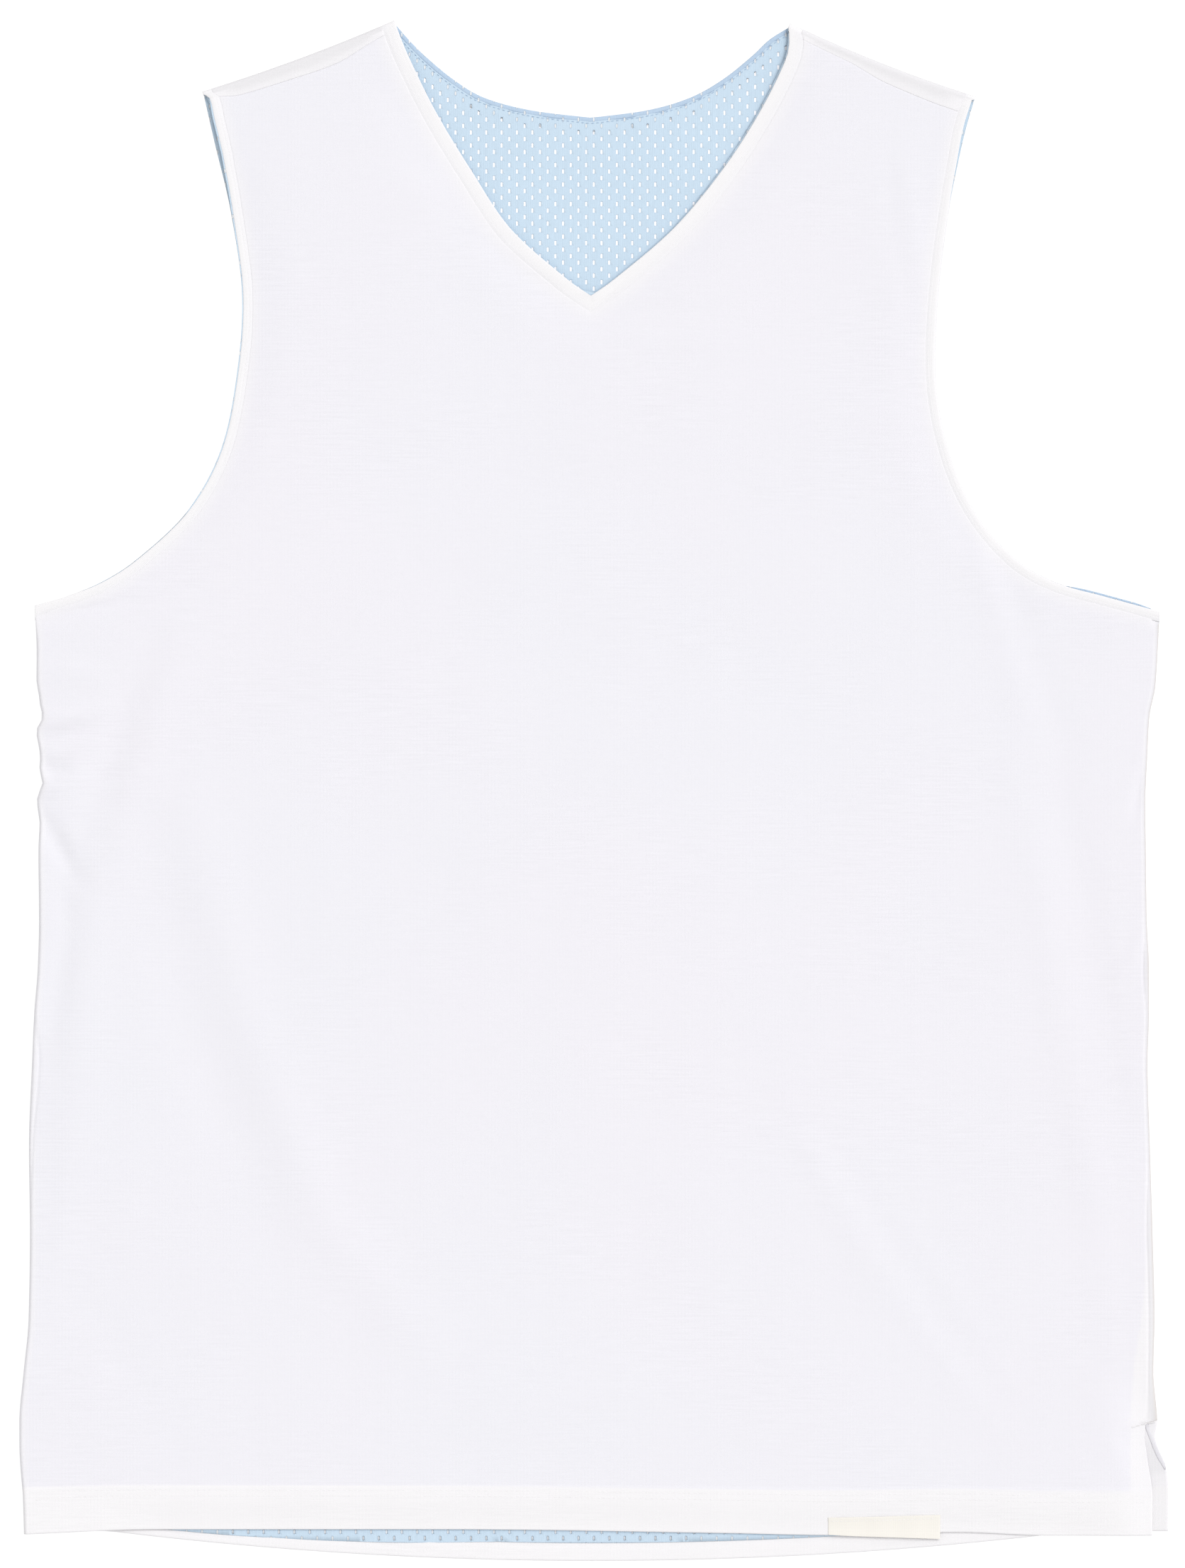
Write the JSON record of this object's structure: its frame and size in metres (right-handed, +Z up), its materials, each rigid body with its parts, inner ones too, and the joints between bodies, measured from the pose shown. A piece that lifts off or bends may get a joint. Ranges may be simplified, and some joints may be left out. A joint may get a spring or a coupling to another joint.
{
  "type": "basketball jersey",
  "caption": "Sleeveless V-neck basketball jersey laid flat: white knit outside, light blue mesh lining, turned hem and side vent.",
  "frame": {"origin": "on the surface the jersey lies on, under the middle of its outline", "axes": "+X to the right of the picture, +Y from the hem to the shoulders, +Z up from the surface through the front"},
  "size_m": [0.5968, 0.8, 0.0068],
  "materials": {
    "jersey_knit": "fine white weft knit, matt",
    "mesh_lining": "light blue holed mesh, soft sheen",
    "band_knit": "doubled white knit, topstitched",
    "woven_label": "cream woven label"
  },
  "bodies": {
    "root": {"back_body": "jersey_knit", "back_lining": "mesh_lining", "front_lining": "mesh_lining", "front_body": "jersey_knit", "neck_band": "band_knit", "left_armhole_band": "band_knit", "right_armhole_band": "band_knit", "hem_label": "woven_label"}
  },
  "joints": []
}
